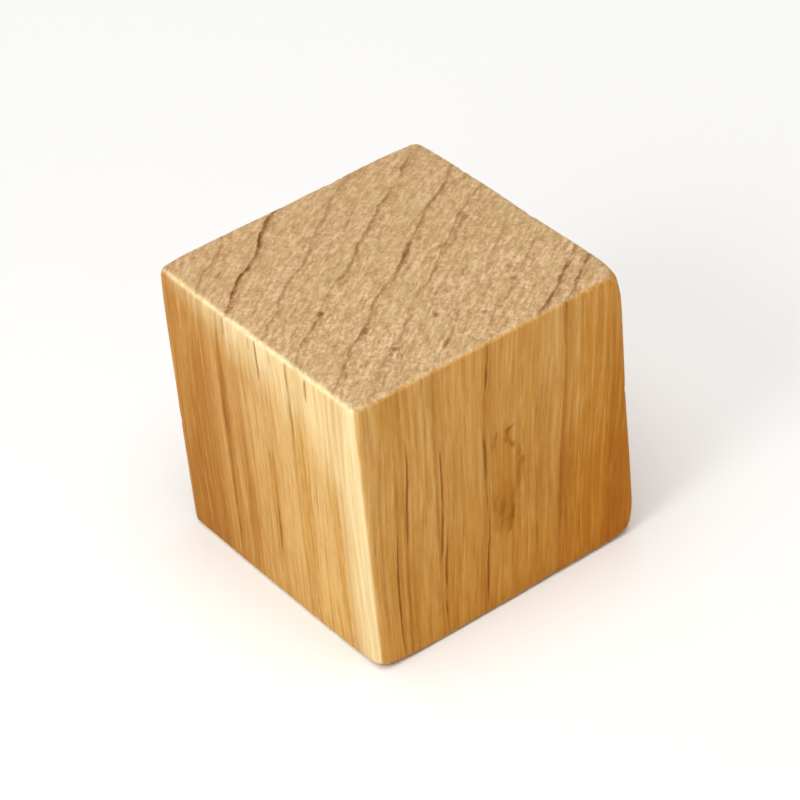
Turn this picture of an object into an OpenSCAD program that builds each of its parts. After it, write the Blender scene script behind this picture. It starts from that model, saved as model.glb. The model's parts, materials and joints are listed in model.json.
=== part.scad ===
// Solid pine cube, sawn from a planed square stick and sanded.
// One piece of wood: the grain runs along Z, so the two end-grain faces are
// the top and the bottom. Every arris is eased to one small radius and the
// corners are rounded to match.
// Origin: centre of the bottom face. +Z up. Millimetres.

/* [Cube] */
// Length of every edge, measured face to face
edge = 30; // [15:0.5:60]

/* [Eased edges] */
// Radius of the eased edges and corners
edge_r = 1.0; // [0.4:0.1:3]

/* [Hidden] */

// half of the edge, and the distance from the middle to an edge's own axis
half = edge / 2;
inset = half - edge_r;
round_fn = 64;

// the two directions away from the middle
SIDES = [-1, 1];

// rods of the easing radius along the four edges that run with Z
module edge_rods() {
    for (i = SIDES, j = SIDES)
        translate([i * inset, j * inset, 0])
            cylinder(h = 2 * inset, r = edge_r, center = true, $fn = round_fn);
}

// cube of the given edge with eased edges, centred on the origin
module eased_cube() {
    union() {
        // three crossed slabs, each reaching one pair of opposite faces
        cube([edge, 2 * inset, 2 * inset], center = true);
        cube([2 * inset, edge, 2 * inset], center = true);
        cube([2 * inset, 2 * inset, edge], center = true);
        // the twelve edges
        edge_rods();
        rotate([90, 0, 0]) edge_rods();
        rotate([0, 90, 0]) edge_rods();
        // the eight corners
        for (i = SIDES, j = SIDES, k = SIDES)
            translate([i * inset, j * inset, k * inset])
                sphere(r = edge_r, $fn = round_fn);
    }
}

// the whole cube, standing on its end-grain face
module wooden_cube() {
    color([0.80, 0.60, 0.36])
        translate([0, 0, half])
            eased_cube();
}

wooden_cube();
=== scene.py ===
"""Looks of the wooden cube: one block of pine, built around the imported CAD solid.

The wood is described once, as a solid: every growth line, resin streak and
fibre is a function of the place in the block, so the end grain on top and
the long grain on the sides belong to the same piece of timber.
Lengths in the helpers are millimetres; Blender's own are metres.
"""

import json
import math

import bpy
import numpy as np
from mathutils import Matrix, Vector, noise

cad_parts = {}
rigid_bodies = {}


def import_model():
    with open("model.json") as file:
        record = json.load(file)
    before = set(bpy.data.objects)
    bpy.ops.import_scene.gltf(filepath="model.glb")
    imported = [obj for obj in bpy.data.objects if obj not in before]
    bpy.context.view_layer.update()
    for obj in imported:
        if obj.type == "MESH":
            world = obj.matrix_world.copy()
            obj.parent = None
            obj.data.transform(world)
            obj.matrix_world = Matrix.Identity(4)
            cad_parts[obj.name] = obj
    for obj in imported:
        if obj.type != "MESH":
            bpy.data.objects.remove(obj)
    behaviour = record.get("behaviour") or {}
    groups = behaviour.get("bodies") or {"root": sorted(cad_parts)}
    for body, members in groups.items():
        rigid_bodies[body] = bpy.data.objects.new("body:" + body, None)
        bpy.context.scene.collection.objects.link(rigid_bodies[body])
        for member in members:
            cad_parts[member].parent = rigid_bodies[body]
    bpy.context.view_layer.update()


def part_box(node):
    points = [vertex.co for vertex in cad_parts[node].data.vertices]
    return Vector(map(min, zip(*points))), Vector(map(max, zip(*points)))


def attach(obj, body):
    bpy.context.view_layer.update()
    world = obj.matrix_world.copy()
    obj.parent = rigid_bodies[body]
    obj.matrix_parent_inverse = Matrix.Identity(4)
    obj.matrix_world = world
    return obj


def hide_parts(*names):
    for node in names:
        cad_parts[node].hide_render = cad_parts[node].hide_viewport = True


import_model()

MM = 0.001
NODE = "wooden_cube"
node_lo, node_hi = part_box(NODE)
SIZE = (node_hi[0] - node_lo[0]) / MM  # the cube's edge
H = SIZE / 2
MID = [(a + b) / 2 / MM for a, b in zip(node_lo, node_hi)]  # its middle


# --------------------------------------------------------------------------
# The timber. +Z is along the grain. "out" is the distance outwards from the
# ring that runs through the middle of the top face; the tree's middle lies
# past the front right corner.
# --------------------------------------------------------------------------
PITH_R = 200.0
PITH_A = math.radians(-55.4)
PITH = (PITH_R * math.cos(PITH_A), PITH_R * math.sin(PITH_A))

# Growth lines: place (out), darkness in end grain, darkness in long grain,
# width of the dark edge, width of the soft tan band on its inner side.
RINGS = [
    (20.3, 0.50, 0.50, 0.34, 1.8),
    (16.6, 0.40, 0.45, 0.30, 1.5),
    (14.7, 0.04, 0.45, 0.40, 1.0),
    (13.0, 1.00, 0.30, 0.60, 1.6),
    (8.1, 0.40, 0.30, 0.40, 1.6),
    (5.2, 0.05, 0.34, 0.40, 0.9),
    (3.87, 0.52, 0.34, 0.46, 1.6),
    (-0.54, 0.52, 0.30, 0.46, 1.7),
    (-3.9, 0.38, 0.15, 0.38, 1.2),
    (-5.35, 0.20, 0.30, 0.24, 0.7),
    (-5.85, 0.10, 0.34, 0.26, 1.0),
    (-8.45, 0.22, 0.50, 0.28, 1.3),
    (-11.6, 0.26, 0.50, 0.28, 1.3),
    (-15.35, 0.90, 0.26, 0.50, 1.2),
    (-16.91, 0.80, 0.36, 0.44, 1.0),
    (-20.25, 0.60, 0.36, 0.36, 1.4),
    (-22.4, 0.50, 0.40, 0.30, 1.0),
]

# The growth lines wander a little: kx, ky (per mm), phase, amplitude (mm).
WANDER = [
    (0.70, 0.483, 2.38, 0.14),
    (0.43, 0.360, 1.01, 0.14),
    (0.18, 0.120, 1.46, 0.23),
    (0.30, -0.25, 1.50, 0.09),
    (1.55, 1.300, 4.40, 0.04),
    (2.30, 1.450, 5.10, 0.03),
    (3.30, 2.000, 1.70, 0.02),
]
ALONG = (-0.823, -0.568)  # along the growth lines, on top
FAN = 0.008  # how the outer growth lines turn


# Dark streaks that show on a face: which face, place along the face and
# height at the streak's middle, half width, half length, darkness. The
# streaks lean with the grain.
MARKS = [
    # front face: x
    ("front", -10.35, 18.2, 0.11, 5.0, 0.90),
    ("front", -10.85, 9.8, 0.11, 6.1, 0.35),
    ("front", -12.15, 8.0, 0.11, 6.2, 0.85),
    ("front", -11.45, 15.6, 0.10, 3.2, 0.35),
    ("front", -6.65, 15.4, 0.11, 5.6, 0.85),
    ("front", -6.95, 7.0, 0.11, 5.4, 0.85),
    ("front", -5.55, 26.4, 0.12, 4.1, 0.45),
    ("front", -0.50, 28.6, 0.13, 3.4, 1.00),
    ("front", -1.05, 23.4, 0.22, 3.4, 0.42),
    ("front", -1.60, 17.2, 0.13, 4.9, 0.75),
    ("front", -2.10, 7.0, 0.11, 5.0, 0.80),
    ("front", 4.75, 19.8, 0.17, 2.9, 0.22),
    ("front", 3.75, 11.6, 0.20, 2.6, 0.34),
    ("front", 8.45, 28.4, 0.14, 3.4, 0.62),
    ("front", 8.00, 22.0, 0.15, 4.1, 0.22),
    ("front", 6.50, 10.6, 0.20, 4.6, 0.52),
    ("front", 12.65, 17.8, 0.15, 3.7, 0.30),
    # left face: y
    ("left", 5.90, 22.6, 0.19, 7.8, 0.53),
    ("left", 6.35, 11.8, 0.22, 8.5, 0.62),
    ("left", 3.45, 12.4, 0.17, 11.5, 0.53),
    ("left", 4.70, 28.6, 0.13, 0.9, 0.60),
    ("left", 0.75, 28.9, 0.12, 0.7, 0.55),
    ("left", -2.50, 28.9, 0.12, 0.7, 0.50),
    ("left", -0.35, 27.6, 0.13, 2.0, 0.80),
    ("left", -0.40, 15.4, 0.15, 2.2, 0.56),
    ("left", -0.75, 9.2, 0.15, 4.1, 0.85),
    ("left", -4.95, 25.8, 0.15, 4.4, 0.78),
    ("left", -4.75, 4.6, 0.17, 3.7, 0.62),
    ("left", -6.50, 13.8, 0.17, 9.8, 0.50),
    ("left", -7.80, 28.4, 0.14, 1.0, 0.85),
    ("left", -10.40, 14.5, 0.22, 15.2, 0.30),
    ("left", 9.60, 20.0, 0.15, 8.5, 0.38),
    ("left", 11.9, 11.0, 0.17, 9.8, 0.35),
    # faces that are seldom seen
    ("right", -9.2, 20.5, 0.13, 7.9, 0.70),
    ("right", -6.1, 8.0, 0.11, 5.5, 0.40),
    ("right", -3.4, 9.0, 0.13, 7.9, 0.75),
    ("right", 2.1, 22.0, 0.14, 5.6, 0.55),
    ("right", 8.3, 14.0, 0.12, 9.2, 0.60),
    ("back", -11.4, 19.0, 0.12, 7.9, 0.45),
    ("back", -8.8, 12.0, 0.13, 9.2, 0.65),
    ("back", -1.6, 21.5, 0.14, 6.1, 0.60),
    ("back", 4.4, 8.5, 0.13, 7.3, 0.70),
    ("back", 10.2, 19.0, 0.14, 7.3, 0.50),
]

# The resin pocket: short crinkled flecks, some blots, in a golden stain. The
# last number is how far a fleck leans, in mm across per mm up.
FLECKS = [
    ("front", -0.45, 19.05, 0.20, 0.80, 0.58, 0.15),
    ("front", 1.30, 19.60, 0.38, 0.17, 0.85, 0.0),
    ("front", 0.95, 19.00, 0.20, 0.66, 0.95, 0.10),
    ("front", 1.28, 18.05, 0.19, 0.66, 0.70, -0.42),
    ("front", 1.55, 17.45, 0.14, 0.35, 0.55, 0.0),
    ("front", 2.18, 16.70, 0.20, 0.60, 0.60, 0.0),
    ("front", 2.75, 17.80, 0.14, 0.80, 0.30, 0.0),
    ("front", 2.15, 14.60, 0.34, 1.05, 0.50, 0.20),
    ("front", 1.75, 13.20, 0.32, 0.95, 0.46, 0.38),
    ("front", 1.15, 11.90, 0.30, 1.00, 0.52, 0.45),
    ("front", 0.85, 10.30, 0.24, 1.10, 0.78, 0.15),
    ("front", 0.55, 8.90, 0.16, 0.75, 0.70, 0.20),
    ("front", -0.15, 11.30, 0.38, 1.00, 0.52, 0.25),
    ("front", -0.85, 12.00, 0.20, 0.80, 0.45, 0.10),
    ("front", -0.35, 9.60, 0.20, 0.70, 0.40, 0.10),
    ("back", -5.2, 9.6, 0.22, 1.50, 0.60, 0.15),
    ("right", 5.1, 24.0, 0.20, 1.20, 0.55, -0.10),
]

# Soft stains: the same, wide and faint
STAINS = [
    ("front", 0.45, 13.6, 1.7, 6.4, 0.44),
    ("front", 0.10, 11.4, 1.75, 3.3, 0.82),
    ("front", 1.90, 14.6, 0.80, 2.4, 0.50),
    ("front", -10.6, 6.2, 1.3, 6.5, 0.34),
    ("front", -6.1, 6.5, 0.9, 7.0, 0.26),
    ("front", 13.6, 9.0, 2.3, 15.0, 0.60),
    ("front", 6.9, 7.6, 0.9, 8.0, 0.28),
    ("front", 4.9, 16.0, 0.8, 7.0, 0.30),
    ("left", 10.2, 17.0, 2.4, 8.5, 0.60),
    ("left", 10.8, 6.4, 3.4, 7.5, 0.74),
    ("left", 6.05, 14.5, 0.8, 13.0, 0.66),
    ("left", 3.5, 9.4, 0.8, 8.0, 0.62),
    ("left", -0.5, 10.0, 0.7, 8.0, 0.60),
    ("left", -5.7, 15.5, 0.8, 12.0, 0.66),
    ("left", -10.3, 13.0, 0.7, 11.0, 0.50),
    ("right", -7.0, 12.0, 1.6, 9.0, 0.40),
    ("right", 4.0, 20.0, 1.2, 8.0, 0.40),
    ("back", -9.5, 14.0, 1.4, 9.0, 0.40),
    ("back", 5.2, 12.0, 1.2, 10.0, 0.40),
]


# Marks in the end grain on top, lying along the growth lines: x, y, half
# width, half length, darkness. The small ones are pits.
END_MARKS = [
    (2.5, 0.5, 0.30, 1.9, 0.60),
    (7.9, 0.0, 0.24, 2.8, 0.50),
    (9.3, 5.6, 0.20, 1.3, 0.45),
    (1.4, 8.0, 0.22, 1.0, 0.40),
    (-3.0, -12.6, 0.26, 0.7, 0.70),
    (-6.8, -10.3, 0.34, 0.34, 0.85),
    (-7.6, -10.7, 0.22, 0.30, 0.70),
    (-7.1, -6.4, 0.30, 0.50, 0.60),
    (-8.5, -1.5, 0.34, 0.42, 0.75),
    (-1.2, -8.8, 0.24, 0.32, 0.60),
    (7.3, -9.2, 0.30, 0.36, 0.60),
    (2.2, -11.4, 0.22, 0.40, 0.55),
    (-11.6, 9.8, 0.24, 0.60, 0.40),
    (4.6, -5.2, 0.22, 0.50, 0.40),
]


def out_at(x, y, z):
    """The place across the rings, for arrays in mm, as the material has it."""
    radial = np.hypot(x - PITH[0], y - PITH[1]) - PITH_R
    lean = 0.35 + 0.075 * np.maximum(-radial, 0)
    out = radial - lean * (SIZE - z) / SIZE
    out = out + FAN * (ALONG[0] * x + ALONG[1] * y) * np.maximum(radial - 3, 0)
    for kx, ky, ph, a in WANDER:
        out = out + a * np.sin(kx * x + ky * y + ph)
    return out


def lean_x(x):
    """How far the grain on the front and back leans: mm across per mm up."""
    return 0.0825 + 0.0025 * x


LEAN_Y = -0.02  # the same on the left and right


# --------------------------------------------------------------------------
# Shape: an eased cube with a fine skin of vertices, worn
# --------------------------------------------------------------------------
SEG = 128  # segments along an edge
EASE_SEG = 7  # of which on each eased edge
EDGE_R = 1.0


def rows():
    """Places of the grid lines on [-H, H], close together where the edge is eased."""
    flat = np.linspace(-(H - EDGE_R), H - EDGE_R, SEG - 2 * EASE_SEG + 1)
    turn = EDGE_R * np.tan(np.linspace(0, math.pi / 4, EASE_SEG + 1)[1:])
    return np.concatenate([-(H - EDGE_R) - turn[::-1], flat, H - EDGE_R + turn])


# How worn each corner is: its place in units of H, extra radius, reach (mm)
CORNERS = [
    ((-1, -1, -1), 0.80, 2.4),
    ((1, -1, -1), 1.05, 2.0),
    ((1, -1, 1), 1.15, 1.9),
    ((-1, -1, 1), 0.10, 2.0),
    ((-1, 1, 1), 0.35, 2.2),
    ((-1, 1, -1), 0.15, 2.0),
    ((1, 1, 1), 0.45, 2.4),
    ((1, 1, -1), 0.55, 2.4),
]


def waves(p, terms):
    """A smooth uneven value from a few sine waves."""
    v = 0.0
    for kx, ky, kz, ph, a in terms:
        v = v + a * np.sin(kx * p[:, 0] + ky * p[:, 1] + kz * p[:, 2] + ph)
    return v


def noise_at(p, freq, seed, octaves=3):
    """Fractal noise at each point, the same each run."""
    out = np.empty(len(p))
    q = p * np.array(freq) + seed
    for i, v in enumerate(q):
        out[i] = noise.fractal(Vector(v), 1.0, 2.0, octaves, noise_basis="PERLIN_NEW")
    return out


def build_mesh(name):
    t = rows()
    n = SEG + 1
    i, j, k = np.meshgrid(range(n), range(n), range(n), indexing="ij")
    rim = (
        (i == 0) | (i == SEG) | (j == 0) | (j == SEG) | (k == 0) | (k == SEG)
    )
    number = np.full((n, n, n), -1)
    number[rim] = np.arange(rim.sum())
    q = np.stack([t[i[rim]], t[j[rim]], t[k[rim]]], 1)  # on the sharp cube

    # radius of the easing at each point
    r = np.full(len(q), 0.60)
    r += waves(
        q,
        [
            (0.31, 0.23, 0.27, 0.3, 0.07),
            (0.11, 0.57, 0.35, 1.7, 0.04),
            (0.83, 0.15, 0.64, 4.0, 0.02),
        ],
    )
    for c, more, reach in CORNERS:
        d2 = ((q - np.array(c) * H) ** 2).sum(1)
        r += more * np.exp(-d2 / reach**2)
    core = np.clip(q, -(H - r)[:, None], (H - r)[:, None])
    arm = q - core
    length = np.linalg.norm(arm, axis=1)
    normal = arm / length[:, None]
    p = core + normal * r[:, None]

    # how much a point belongs to the end grain
    end = np.clip((abs(normal[:, 2]) - 0.35) / 0.5, 0, 1)
    end = end * end * (3 - 2 * end)
    world = p + np.array([0, 0, H])  # in the part's frame, mm

    # sunk: how far below the true surface, never negative
    sunk = np.zeros(len(p))
    # planed sides: long shallow waves, and soft early wood a little lower
    sunk += (1 - end) * (
        0.012
        + waves(
            p,
            [
                (0.9, 0.9, 0.10, 0.0, 0.004),
                (2.3, 2.1, 0.05, 1.0, 0.004),
                (4.1, 3.7, 0.08, 2.0, 0.003),
            ],
        )
    )
    # sawn ends: granular, with fibres standing and torn
    grain_a = noise_at(world, (1.0, 1.0, 1.0), (3.1, 8.2, 1.7), 3)
    grain_b = noise_at(world, (1.9, 1.9, 1.9), (13.1, 2.2, 5.5), 2)
    sunk += end * (0.045 + 0.022 * grain_a + 0.030 * grain_b)
    # growth lines: the hard late wood stands a little proud
    out = out_at(world[:, 0], world[:, 1], world[:, 2])
    proud = np.zeros(len(p))
    for at, dark_end, dark_side, w, soft in RINGS:
        d = out - at
        band = np.clip(1 + d / soft, 0, 1) * (d <= 0) + np.clip(1 - d / 0.35, 0, 1) * (
            d > 0
        )
        proud = np.maximum(proud, band * (dark_end * end + dark_side * (1 - end)))
    sunk += (1 - proud) * (0.010 * end + 0.006 * (1 - end))

    # ragged arrises where the saw left the end grain
    x, y, z = abs(p[:, 0]), abs(p[:, 1]), abs(p[:, 2])
    side = np.maximum(x, y)
    near_end_edge = np.exp(-(((H - z) / 1.0) ** 2)) * np.exp(-(((H - side) / 1.0) ** 2))
    rag = noise_at(world, (1.8, 1.8, 0.9), (7.0, 1.0, 4.0), 3)
    sunk += near_end_edge * np.clip(rag, 0, 1) * 0.10

    # dents and nicks: place (mm, part's frame), radius, depth
    for cx, cy, cz, rad, deep in NICKS:
        d = np.linalg.norm(world - np.array([cx, cy, cz]), axis=1)
        s = np.clip(1 - (d / rad) ** 2, 0, 1)
        sunk += deep * s * s

    p = p - normal * np.maximum(sunk, 0)[:, None]

    # faces, outward
    quads, uvs = [], []
    ax = np.arange(SEG)
    a, b = np.meshgrid(ax, ax, indexing="ij")
    a, b = a.ravel(), b.ravel()
    # (fixed axis, its end, axis u, axis v) chosen so that u x v points out;
    # the map's tall side takes the direction across the grain
    cells = [
        (0, SEG, 1, 2, 0, 0),
        (0, 0, 2, 1, 1, 0),
        (1, SEG, 2, 0, 2, 0),
        (1, 0, 0, 2, 0, 1),
        (2, SEG, 0, 1, 1, 1),
        (2, 0, 1, 0, 2, 1),
    ]
    unit = (t + H) / SIZE
    for fixed, end_at, u, v, col, row in cells:

        def at(du, dv):
            idx = [None, None, None]
            idx[fixed] = np.full(len(a), end_at)
            idx[u] = a + du
            idx[v] = b + dv
            return number[idx[0], idx[1], idx[2]]

        quads.append(np.stack([at(0, 0), at(1, 0), at(1, 1), at(0, 1)], 1))
        ring = []
        for du, dv in ((0, 0), (1, 0), (1, 1), (0, 1)):
            s, w = unit[a + du], unit[b + dv]
            if u == 2:  # the grain runs along u
                along, across = s, w
            else:
                along, across = w, s
            ring.append(
                np.stack(
                    [
                        (col + 0.02 + 0.96 * along) / 3,
                        (row + 0.015 + 0.97 * across) / 2,
                    ],
                    1,
                )
            )
        uvs.append(np.stack(ring, 1))
    quads = np.concatenate(quads)
    uvs = np.concatenate(uvs)

    me = bpy.data.meshes.new(name)
    co = (p + np.array([0, 0, H])) * MM
    co[:, 2] = np.clip(co[:, 2], 0, SIZE * MM)
    me.from_pydata(co.tolist(), [], quads.tolist())
    layer = me.uv_layers.new(name="OFBake")
    layer.data.foreach_set("uv", uvs.reshape(-1).astype(np.float32))
    me.polygons.foreach_set("use_smooth", np.ones(len(me.polygons), dtype=bool))
    me.update()
    me.validate()
    return me


NICKS = [
    # along the top edges
    (-9.4, -15.0, 30.0, 0.8, 0.08),
    (2.8, -15.0, 30.0, 0.7, 0.09),
    (10.9, -15.0, 30.0, 0.9, 0.12),
    (-15.0, -6.2, 30.0, 0.7, 0.08),
    (-15.0, 8.9, 30.0, 0.8, 0.09),
    (15.0, -2.1, 30.0, 0.8, 0.10),
    (15.0, 7.8, 30.0, 0.7, 0.10),
    (4.6, 15.0, 30.0, 0.9, 0.11),
    # upright edges
    (-15.0, -15.0, 8.2, 0.9, 0.06),
    (15.0, -15.0, 16.6, 0.8, 0.08),
    (15.0, 15.0, 23.0, 0.9, 0.10),
    (-15.0, 15.0, 12.5, 0.8, 0.08),
    # bottom edges
    (5.4, -15.0, 0.0, 0.7, 0.08),
    (-15.0, 4.4, 0.0, 0.8, 0.09),
    (15.0, -8.0, 0.0, 0.9, 0.10),
    (1.0, 15.0, 0.0, 0.9, 0.11),
    # shallow bruises on the faces
    (15.0, 4.2, 19.5, 2.0, 0.035),
    (-4.0, 15.0, 10.5, 1.6, 0.03),
]


# --------------------------------------------------------------------------
# Material
# --------------------------------------------------------------------------
class Graph:
    """Writes shader nodes as plain sums."""

    def __init__(self, tree):
        self.tree = tree
        self.nodes = tree.nodes
        self.links = tree.links

    def put(self, socket, value):
        if isinstance(value, Val):
            self.links.new(value.socket, socket)
        elif value is not None:
            socket.default_value = value

    def math(self, op, *args, clamp=False):
        n = self.nodes.new("ShaderNodeMath")
        n.operation = op
        n.use_clamp = clamp
        for s, v in zip(n.inputs, args):
            self.put(s, v)
        return Val(self, n.outputs[0])

    def vec(self, x, y, z):
        n = self.nodes.new("ShaderNodeCombineXYZ")
        for s, v in zip(n.inputs, (x, y, z)):
            self.put(s, v)
        return Val(self, n.outputs[0])

    def vmath(self, op, *args):
        n = self.nodes.new("ShaderNodeVectorMath")
        n.operation = op
        for s, v in zip(n.inputs, args):
            self.put(s, v)
        return Val(self, n.outputs[0])

    def vdot(self, a, b):
        n = self.nodes.new("ShaderNodeVectorMath")
        n.operation = "DOT_PRODUCT"
        self.put(n.inputs[0], a)
        self.put(n.inputs[1], b)
        return Val(self, n.outputs["Value"])

    def step(self, v, lo, hi, to_lo=0.0, to_hi=1.0, smooth=True):
        n = self.nodes.new("ShaderNodeMapRange")
        n.interpolation_type = "SMOOTHSTEP" if smooth else "LINEAR"
        n.clamp = True
        for s, x in zip(n.inputs, (v, lo, hi, to_lo, to_hi)):
            self.put(s, x)
        return Val(self, n.outputs[0])

    def noise(self, vec, scale=1.0, detail=3.0, rough=0.5, distort=0.0):
        n = self.nodes.new("ShaderNodeTexNoise")
        n.noise_dimensions = "3D"
        self.put(n.inputs["Vector"], vec)
        n.inputs["Scale"].default_value = scale
        n.inputs["Detail"].default_value = detail
        n.inputs["Roughness"].default_value = rough
        n.inputs["Distortion"].default_value = distort
        return Val(self, n.outputs["Fac"])

    def cells(self, vec, scale=1.0, random=1.0, feature="F1"):
        n = self.nodes.new("ShaderNodeTexVoronoi")
        n.feature = feature
        self.put(n.inputs["Vector"], vec)
        n.inputs["Scale"].default_value = scale
        n.inputs["Randomness"].default_value = random
        return Val(self, n.outputs["Distance"])

    def blend(self, fac, a, b, kind="MIX"):
        n = self.nodes.new("ShaderNodeMix")
        n.data_type = "RGBA"
        n.blend_type = kind
        n.clamp_factor = True
        self.put(n.inputs[0], fac)
        for s, c in ((n.inputs[6], a), (n.inputs[7], b)):
            if isinstance(c, tuple):
                s.default_value = (*c, 1.0)
            else:
                self.put(s, c)
        return Val(self, n.outputs[2])


class Val:
    def __init__(self, g, socket):
        self.g, self.socket = g, socket

    def __add__(self, o):
        return self.g.math("ADD", self, o)

    __radd__ = __add__

    def __sub__(self, o):
        return self.g.math("SUBTRACT", self, o)

    def __rsub__(self, o):
        return self.g.math("SUBTRACT", o, self)

    def __mul__(self, o):
        return self.g.math("MULTIPLY", self, o)

    __rmul__ = __mul__

    def __truediv__(self, o):
        return self.g.math("DIVIDE", self, o)


def srgb(r, g, b):
    """An 8-bit screen colour as the linear one that shaders take."""
    f = lambda c: c / 12.92 if c <= 0.04045 else ((c + 0.055) / 1.055) ** 2.4
    return tuple(f(c / 255) for c in (r, g, b))


def pine(name):
    mat = bpy.data.materials.new(name)
    mat.use_nodes = True
    tree = mat.node_tree
    tree.nodes.clear()
    g = Graph(tree)
    out_node = tree.nodes.new("ShaderNodeOutputMaterial")
    bsdf = tree.nodes.new("ShaderNodeBsdfPrincipled")
    tree.links.new(bsdf.outputs[0], out_node.inputs[0])

    coord = tree.nodes.new("ShaderNodeTexCoord")
    sep = tree.nodes.new("ShaderNodeSeparateXYZ")
    tree.links.new(coord.outputs["Object"], sep.inputs[0])
    x, y, z = (Val(g, s) * 1000.0 for s in sep.outputs)  # mm
    up = z - H

    # which face of the block the point is on
    ax = g.math("ABSOLUTE", x)
    ay = g.math("ABSOLUTE", y)
    az = g.math("ABSOLUTE", up)
    wide = g.math("MAXIMUM", ax, ay)
    fray = g.noise(g.vec(x, y, z), 1.7, 3.0, 0.6) - 0.5
    end = g.step(az - wide + fray * 1.5, -0.22, 0.16)
    on_y = g.step(ay - ax, -0.25, 0.25)  # front or back
    on_x = 1.0 - on_y
    # distance in from the nearest edge
    lo_xy = g.math("MINIMUM", ax, ay)
    second = g.math("MAXIMUM", lo_xy, g.math("MINIMUM", wide, az))
    inset = H - second

    # long-grain coordinates follow the lean of the fibres
    xs = x - up * (x * 0.0025 + 0.0825) * on_y
    xs = xs + g.math("SINE", up * 0.23 + x * 0.31) * on_y * 0.16
    ys = y - up * LEAN_Y * on_x
    ys = ys + g.math("SINE", up * 0.19 + y * 0.27 + 1.4) * on_x * 0.18

    # place across the rings, and along them
    dx, dy = x - PITH[0], y - PITH[1]
    radial = g.math("SQRT", dx * dx + dy * dy) - PITH_R
    along = x * ALONG[0] + y * ALONG[1]
    lean = g.math("MAXIMUM", radial * -1.0, 0.0) * 0.075 + 0.35
    out = radial - lean * ((SIZE - z) / SIZE)
    out = out + along * FAN * g.math("MAXIMUM", radial - 3.0, 0.0)
    for kx, ky, ph, a in WANDER:
        out = out + g.math("SINE", x * kx + y * ky + ph) * a
    # fine jaggedness, stronger in the sawn end grain
    jag = g.noise(g.vec(x, y, z * 0.10), 1.6, 3.0, 0.62) - 0.5
    ring = out + jag * (0.28 + 0.06 * end)

    # where each line fades and comes back
    fade = g.noise(g.vec(x * 0.33, y * 0.33, z * 0.10), 1.0, 2.0, 0.6)
    fade = g.step(fade, 0.36, 0.56, 0.42, 1.0)

    # growth lines
    line = None
    band = None
    for at, dark_end, dark_side, w, soft in RINGS:
        d = ring - at
        outer = g.step(d, -0.04, 0.16, 1.0, 0.0)
        strength = end * (dark_end - dark_side) + dark_side
        outer = outer * strength
        one = g.step(d, -w, -0.05) * outer
        tan = g.step(d, -soft, 0.1) * outer
        line = one if line is None else g.math("MAXIMUM", line, one)
        band = tan if band is None else g.math("MAXIMUM", band, tan)

    # fibres: long and thin along the grain
    bands = g.noise(g.vec(xs, ys, z * 0.020), 0.24, 2.0, 0.5)
    fibre_w = g.noise(g.vec(xs, ys, z * 0.080), 0.80, 2.0, 0.5)
    fibre_m = g.noise(g.vec(xs, ys, z * 0.040), 2.2, 2.0, 0.5)
    fibre_f = g.noise(g.vec(xs, ys, z * 0.040), 5.5, 3.0, 0.65)
    short = g.noise(g.vec(xs, ys, z * 0.22), 1.8, 2.0, 0.6)
    patch = g.noise(g.vec(x, y, z * 0.5), 0.085, 2.0, 0.5)

    # streaks, flecks and stains at listed places, with frayed edges
    faces = {
        "front": (xs, on_y * g.step(y, -0.5, 0.5, 1.0, 0.0)),
        "back": (xs, on_y * g.step(y, -0.5, 0.5, 0.0, 1.0)),
        "left": (ys, on_x * g.step(x, -0.5, 0.5, 1.0, 0.0)),
        "right": (ys, on_x * g.step(x, -0.5, 0.5, 0.0, 1.0)),
    }

    def placed(table, ragged, soft_from, soft_to):
        total = None
        for face, (u, on) in faces.items():
            rows_here = [r for r in table if r[0] == face]
            if not rows_here:
                continue
            flat = g.vec(u + ragged[0], up + ragged[1], 0.0)
            here = None
            for _, place, height, half_w, half_l, dark, *tilt in rows_here:
                w = height - H
                tilt = tilt[0] if tilt else 0.0
                if face in ("front", "back"):
                    u0 = place - w * lean_x(place)
                    u0 += 0.16 * math.sin(w * 0.23 + place * 0.31)
                else:
                    u0 = place - w * LEAN_Y
                    u0 += 0.18 * math.sin(w * 0.19 + place * 0.27 + 1.4)
                here_at = flat
                if tilt:
                    here_at = g.vec(u + ragged[0] - (up - w) * tilt, up + ragged[1], 0.0)
                d = g.vmath(
                    "MULTIPLY_ADD",
                    here_at,
                    (1 / half_w, 1 / half_l, 0.0),
                    (-u0 / half_w, -w / half_l, 0.0),
                )
                # across squared plus along to the fourth: long, with soft ends
                d = g.vmath("MULTIPLY", d, d)
                d = g.vdot(d, g.vmath("MULTIPLY_ADD", d, (0, 1, 0), (1, 0, 0)))
                one = g.step(d, soft_from, soft_to, dark, 0.0)
                here = one if here is None else g.math("MAXIMUM", here, one)
            here = here * on
            total = here if total is None else total + here
        return total

    crinkle = g.noise(g.vec(xs, ys, z * 0.55), 1.25, 3.0, 0.6) - 0.5
    fray = (fibre_f - 0.5) * 0.22 + (fibre_w - 0.5) * 0.20
    waver = g.noise(g.vec(x * 0.12, y * 0.12, z * 0.30), 1.0, 2.0, 0.5) - 0.5
    streak = placed(MARKS, (fray + waver * 0.40, crinkle * 1.5), 0.0, 3.4)
    fleck = placed(FLECKS, (crinkle * 0.8 + fray * 0.8, fibre_m * 1.2 - 0.6), 0.0, 3.0)
    uneven = g.noise(g.vec(xs * 0.9, ys * 0.9, z * 0.24), 1.0, 2.0, 0.5)
    streak = streak * (1.0 - end) * g.step(fibre_f, 0.25, 0.60, 0.70, 1.08)
    streak = streak * g.step(uneven, 0.34, 0.54, 0.68, 1.05)
    fleck = fleck * (1.0 - end) * g.step(fibre_m + crinkle, 0.36, 0.62, 1.15, 0.60)
    stain = placed(STAINS, (crinkle * 0.9, 0.0), 0.0, 1.3) * (1.0 - end)

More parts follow.
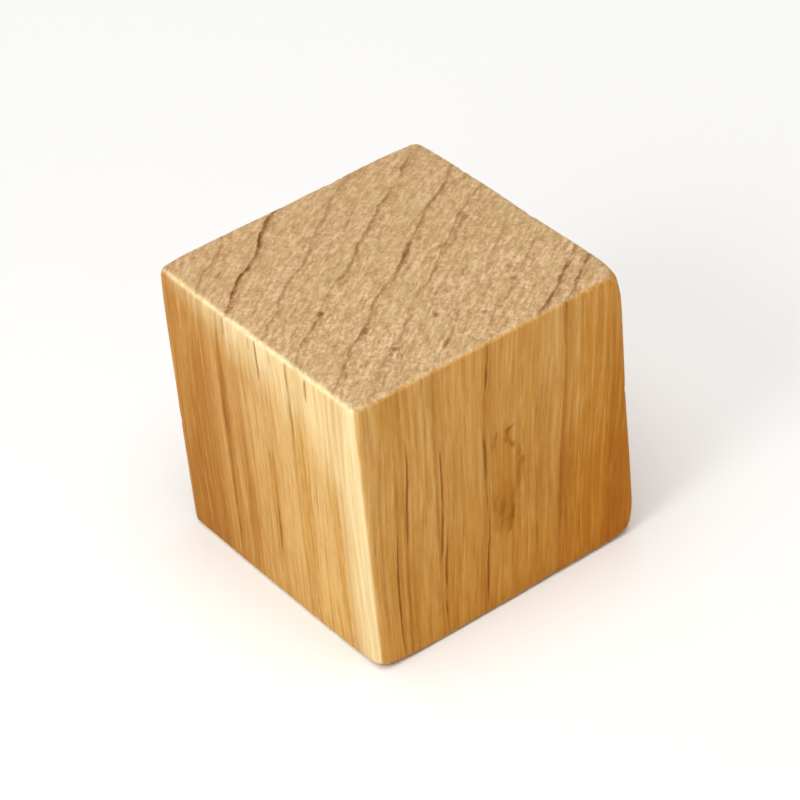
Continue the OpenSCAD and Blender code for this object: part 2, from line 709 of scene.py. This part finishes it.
    # a few short dashes of resin anywhere
    dash = g.cells(g.vec(xs * 1.25, ys * 1.25, z * 0.13), 1.0, 1.0)
    dash = g.step(dash, 0.05, 0.15, 1.0, 0.0)

    # end grain: cut cells, short runs along the rings, rays across them
    speck = g.noise(g.vec(x, y, z), 1.9, 6.0, 0.85)
    runs = g.noise(g.vec(radial + jag * 0.5, along * 0.16, z * 0.2), 3.4, 3.0, 0.7)
    grit = g.noise(g.vec(radial * 2.4, along * 0.60, z * 0.2), 1.0, 2.0, 0.6, 0.4)
    rays = g.noise(g.vec(radial * 0.40, along * 2.4, z * 0.2), 1.0, 2.0, 0.6, 0.4)
    mottle = g.noise(g.vec(x, y, z * 0.2), 0.20, 2.0, 0.55)
    lumps = g.noise(g.vec(x, y, z), 1.05, 2.0, 0.6)
    cut = speck * 0.44 + lumps * 0.05 + grit * 0.25 + runs * 0.24 + rays * 0.07
    coarse = g.step(mottle, 0.40, 0.60, 0.80, 1.0) * g.step(y, -6.0, 14.0, 1.0, 0.80)
    pale = g.step(cut, 0.515, 0.590, smooth=False) * coarse
    pit = g.step(cut, 0.425, 0.500, 1.0, 0.0, smooth=False) * coarse

    # resin ducts: dots, mostly beside the growth lines
    ducts = g.cells(g.vec(x, y, z * 0.02), 1.15, 1.0)
    ducts = g.step(ducts, 0.07, 0.15, 1.0, 0.0)
    # marks at listed places
    flat = g.vec(ring, along, 0.0)
    scar = None
    for mx, my, half_w, half_l, dark in END_MARKS:
        o0 = float(out_at(mx, my, SIZE))
        a0 = mx * ALONG[0] + my * ALONG[1]
        d = g.vmath(
            "MULTIPLY_ADD",
            flat,
            (1 / half_w, 1 / half_l, 0.0),
            (-o0 / half_w, -a0 / half_l, 0.0),
        )
        one = g.step(g.vdot(d, d) + fray * 2.0, 0.0, 1.7, dark, 0.0)
        scar = one if scar is None else g.math("MAXIMUM", scar, one)
    scar = scar * g.step(z, H - 1.0, H + 1.0)

    # ---- colours of the long grain: inner wood golden, middle rings paler on the left and right faces, outer rings darker
    honey = srgb(184, 124, 42)
    pine_mid = srgb(205, 150, 72)
    cream = srgb(225, 184, 118)
    side = g.blend(g.step(out, -22.0, -9.0), honey, pine_mid)
    # partly wood, partly painted light and shade: the left face paler towards its front and
    # darker towards its back
    side = g.blend(g.step(out, -8.0, 2.0) * on_x, side, cream)
    side = g.blend(g.step(out, 3.0, 19.0) * (on_x * 0.70 + 0.30), side, srgb(184, 128, 52))
    on_front = faces["front"][1]
    # painted light: the front face lighter towards its upper left
    lit = g.step(up - x * 0.2, -8.0, 12.0) * g.step(x, -10.0, 6.0) * on_front
    side = g.blend(lit * 0.30, side, srgb(228, 172, 92))
    # the golden wood of the front's right-hand side runs on round the corner
    golden = on_front + faces["right"][1] * g.step(y, -14.0, -1.0, 1.0, 0.0)
    deep = g.step(x - up * 0.12, 4.0, 13.0) * golden
    side = g.blend(deep * 0.40, side, srgb(204, 136, 32))
    side = g.blend(g.step(bands, 0.46, 0.72, 0.0, 0.34), side, srgb(188, 126, 54))
    side = g.blend(g.step(bands, 0.28, 0.50, 0.26, 0.0), side, srgb(230, 188, 124))
    side = g.blend(g.step(fibre_w, 0.48, 0.74, 0.0, 0.17), side, srgb(184, 124, 50))
    side = g.blend(g.step(fibre_w, 0.28, 0.50, 0.14, 0.0), side, srgb(234, 196, 136))
    side = g.blend(g.step(fibre_m, 0.50, 0.72, 0.0, 0.40), side, srgb(172, 112, 40))
    side = g.blend(g.step(fibre_m, 0.30, 0.48, 0.24, 0.0), side, srgb(238, 202, 144))
    side = g.blend(g.step(fibre_f, 0.48, 0.70, 0.0, 0.34), side, srgb(164, 108, 40))
    side = g.blend(g.step(fibre_f, 0.30, 0.50, 0.20, 0.0), side, srgb(234, 192, 128))
    side = g.blend(g.step(short, 0.52, 0.72, 0.0, 0.22), side, srgb(168, 110, 42))
    side = g.blend(g.step(short, 0.28, 0.46, 0.17, 0.0), side, srgb(232, 190, 124))
    side = g.blend(band * 0.48, side, srgb(182, 118, 42))
    side = g.blend(line * fade * 0.66, side, (0.50, 0.36, 0.16), "MULTIPLY")
    side = g.blend(stain, side, (0.82, 0.69, 0.30), "MULTIPLY")
    # painted shade: every side darker towards the bottom
    side = g.blend(g.step(up, 13.0, -15.0, 0.0, 0.50), side, (0.86, 0.76, 0.46), "MULTIPLY")
    # painted shade: the front and the near part of the right face darker and more saturated
    # towards the lower right
    painted_shade_low_right = g.step(x * 0.9 - up, -6.0, 22.0) * golden
    side = g.blend(painted_shade_low_right * 0.85, side, (0.97, 0.86, 0.46), "MULTIPLY")
    # painted shade: a darker band along the foot of every side
    painted_foot_shade = g.step(up, -12.4, -14.6, 0.0, 0.40)
    side = g.blend(painted_foot_shade, side, (0.86, 0.78, 0.58), "MULTIPLY")
    side = g.blend(dash * 0.40, side, (0.58, 0.43, 0.20), "MULTIPLY")
    side = g.blend(fleck * 0.90, side, (0.52, 0.36, 0.10), "MULTIPLY")
    side = g.blend(streak * 0.92, side, (0.80, 0.69, 0.44), "MULTIPLY")
    core = g.step(streak, 0.40, 0.95)
    side = g.blend(core * 0.90, side, (0.62, 0.47, 0.29), "MULTIPLY")
    # painted light: a pale band beside the front left edge of the left face, and a pale
    # patch below its top edge near the front
    on_left = faces["left"][1]
    painted_edge_light = g.step(y, -10.2, -14.0) * on_left
    painted_edge_light = painted_edge_light * g.step(fibre_m, 0.35, 0.60, 1.0, 0.70)
    near = g.math("MAXIMUM", y * -1.0, 0.0)
    painted_sun_patch = up - y * 0.12 + near * near * 0.046
    painted_sun_patch = painted_sun_patch - g.math("MAXIMUM", y - 3.5, 0.0) * 0.38
    far = g.step(y, 2.0, 9.0)
    painted_sun_patch = painted_sun_patch + (fibre_w - 0.5) * (6.0 - 3.5 * far) + crinkle * 2.4 + (patch - 0.5) * 4.0
    painted_sun_patch = g.step(painted_sun_patch, 7.4, 15.4) * on_left * g.step(fibre_m, 0.38, 0.60, 1.0, 0.66)
    painted_sun_patch = painted_sun_patch * g.step(y, -9.0, 3.0, 0.46, 0.80)
    light = g.math("MAXIMUM", painted_edge_light * 0.70, painted_sun_patch)
    side = g.blend(light * (1.0 - streak * 0.9), side, srgb(250, 234, 184))

    # ---- colours of the end grain
    endc = g.blend(g.step(mottle, 0.36, 0.64), srgb(193, 160, 114), srgb(197, 159, 117))
    endc = g.blend(g.step(patch, 0.40, 0.64, 0.0, 0.5), endc, srgb(192, 154, 110))
    endc = g.blend(band * 0.60, endc, srgb(172, 121, 74))
    endc = g.blend(pale * 0.82, endc, srgb(230, 200, 157))
    endc = g.blend(pit * 0.82, endc, srgb(152, 110, 67))
    endc = g.blend(ducts * (band * 0.5 + 0.16), endc, srgb(120, 78, 40))
    endc = g.blend(scar, endc, (0.42, 0.30, 0.18), "MULTIPLY")
    endc = g.blend(line * fade * 0.95, endc, (0.31, 0.19, 0.08), "MULTIPLY")

    colour = g.blend(end, side, endc)
    # rubbed edges are paler, the more the closer to the arris, more along the top of the
    # left and right faces;
    # along the top of the left face the pale is strongest, partly wear and partly a painted
    # highlight
    top_edge = g.math("MINIMUM", H - az, 3.0)
    by_top = g.step(top_edge, 0.2, 1.2, 1.0, 0.0)
    rub_and_highlight = g.step(inset, 0.05, 0.60, 1.0, 0.0)
    rub_and_highlight = rub_and_highlight * g.step(fibre_w * 0.6 + speck * 0.4, 0.38, 0.58, 0.60, 1.0)
    broken = g.step(speck + crinkle * 0.4, 0.46, 0.56, 0.10, 1.0)
    broken = broken + (1.0 - broken) * on_left
    rub_and_highlight = rub_and_highlight * (0.10 + by_top * broken * (0.16 + 0.20 * on_x + 0.46 * on_left))
    colour = g.blend(rub_and_highlight, colour, srgb(255, 238, 192))
    tree.links.new(colour.socket, bsdf.inputs["Base Color"])

    # ---- roughness
    rough = 0.58 + end * 0.22 - streak * 0.06 + (fibre_m - 0.5) * 0.12
    tree.links.new(rough.socket, bsdf.inputs["Roughness"])
    bsdf.inputs["IOR"].default_value = 1.45
    bsdf.inputs["Specular IOR Level"].default_value = 0.10

    # ---- fine relief, in mm
    h_side = fibre_m * 0.020 + fibre_f * 0.014
    height = h_side + end * ((cut - 0.5) * 0.055 - h_side)
    bump = tree.nodes.new("ShaderNodeBump")
    bump.inputs["Strength"].default_value = 1.0
    bump.inputs["Distance"].default_value = MM
    tree.links.new(height.socket, bump.inputs["Height"])
    tree.links.new(bump.outputs[0], bsdf.inputs["Normal"])
    return mat


# --------------------------------------------------------------------------
# The piece
# --------------------------------------------------------------------------
cube = bpy.data.objects.new("pine_cube", build_mesh("pine_cube"))
bpy.context.scene.collection.objects.link(cube)
cube.data.materials.append(pine("pine"))
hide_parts(NODE)
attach(cube, "root")
for o in bpy.data.objects:  # the hidden CAD solid wears the same wood
    if o.type == "MESH" and o is not cube and o.name.startswith(NODE):
        o.data.materials.clear()
        o.data.materials.append(cube.data.materials[0])


# --------------------------------------------------------------------------
# Floor, light and camera
# --------------------------------------------------------------------------
def plain(name, colour, rough):
    m = bpy.data.materials.new(name)
    m.use_nodes = True
    b = m.node_tree.nodes["Principled BSDF"]
    b.inputs["Base Color"].default_value = (*colour, 1)
    b.inputs["Roughness"].default_value = rough
    return m


fm = bpy.data.meshes.new("floor")
fm.from_pydata([(-2, -2, 0), (2, -2, 0), (2, 2, 0), (-2, 2, 0)], [], [(0, 1, 2, 3)])
floor = bpy.data.objects.new("floor", fm)
bpy.context.scene.collection.objects.link(floor)
fm.materials.append(plain("floor_white", (0.93, 0.935, 0.945), 0.9))


def soft_sun(name, where, strength, spread, colour):
    """A large soft lamp so far away that it lights the whole floor evenly."""
    d = bpy.data.lights.new(name, "SUN")
    d.energy = strength
    d.angle = math.radians(spread)
    d.color = colour
    o = bpy.data.objects.new(name, d)
    bpy.context.scene.collection.objects.link(o)
    o.location = where
    o.rotation_euler = Vector(where).to_track_quat("Z", "Y").to_euler()
    return o


centre = Vector((0, 0, SIZE * MM / 2))
soft_sun("key", (-0.76, -0.13, 0.60), 0.40, 20, (1.0, 0.98, 0.93))
soft_sun("top", (-0.10, -0.12, 1.00), 1.95, 55, (1.0, 0.99, 0.97))

# a frosted globe close by, so that the light falls off over the block
globe_light = bpy.data.lights.new("globe", "POINT")
globe_light.energy = 0.145
globe_light.shadow_soft_size = 0.035
globe_light.color = (1.0, 0.98, 0.93)
globe = bpy.data.objects.new("globe", globe_light)
bpy.context.scene.collection.objects.link(globe)
globe.location = centre + Vector((-0.100, -0.030, 0.075))

# the room: as the floor at the horizon, brighter just above, dimmer overhead
world = bpy.data.worlds.new("studio")
bpy.context.scene.world = world
world.use_nodes = True
wt = world.node_tree
back = wt.nodes["Background"]
wg = Graph(wt)
wc = wt.nodes.new("ShaderNodeTexCoord")
wz = wt.nodes.new("ShaderNodeSeparateXYZ")
wt.links.new(wc.outputs["Generated"], wz.inputs[0])
height = wg.math("ABSOLUTE", Val(wg, wz.outputs[2]))
rise = wg.step(height, 0.02, 0.55)
glow = wg.blend(rise, (0.965, 0.965, 0.965), (0.24, 0.235, 0.225))
glow = wg.blend(wg.step(height, 0.0, 0.07), (0.917, 0.913, 0.897), glow)
wt.links.new(glow.socket, back.inputs[0])
back.inputs[1].default_value = 1.0
bpy.context.scene.view_settings.view_transform = "Standard"

# The camera stands where the photograph's did, seen from this cube, and has
# the same lean; it is turned to the cube and its lens is longer.
cam_at = Vector((-4.697, -7.016, 6.909)) * SIZE * MM
aim = centre + Vector((0, 0, 0))
ahead = (aim - cam_at).normalized()
right0 = ahead.cross(Vector((0, 0, 1))).normalized()
down0 = ahead.cross(right0)
roll = math.radians(5.9)
right = right0 * math.cos(roll) + down0 * math.sin(roll)
down = down0 * math.cos(roll) - right0 * math.sin(roll)
cam_data = bpy.data.cameras.new("camera")
cam_data.sensor_width = 36.0
cam_data.lens = 155.0
cam_data.clip_start, cam_data.clip_end = 0.01, 10.0
cam = bpy.data.objects.new("camera", cam_data)
bpy.context.scene.collection.objects.link(cam)
turn = Matrix((right, -down, -ahead)).transposed().to_4x4()
cam.matrix_world = Matrix.Translation(cam_at) @ turn
bpy.context.scene.camera = cam
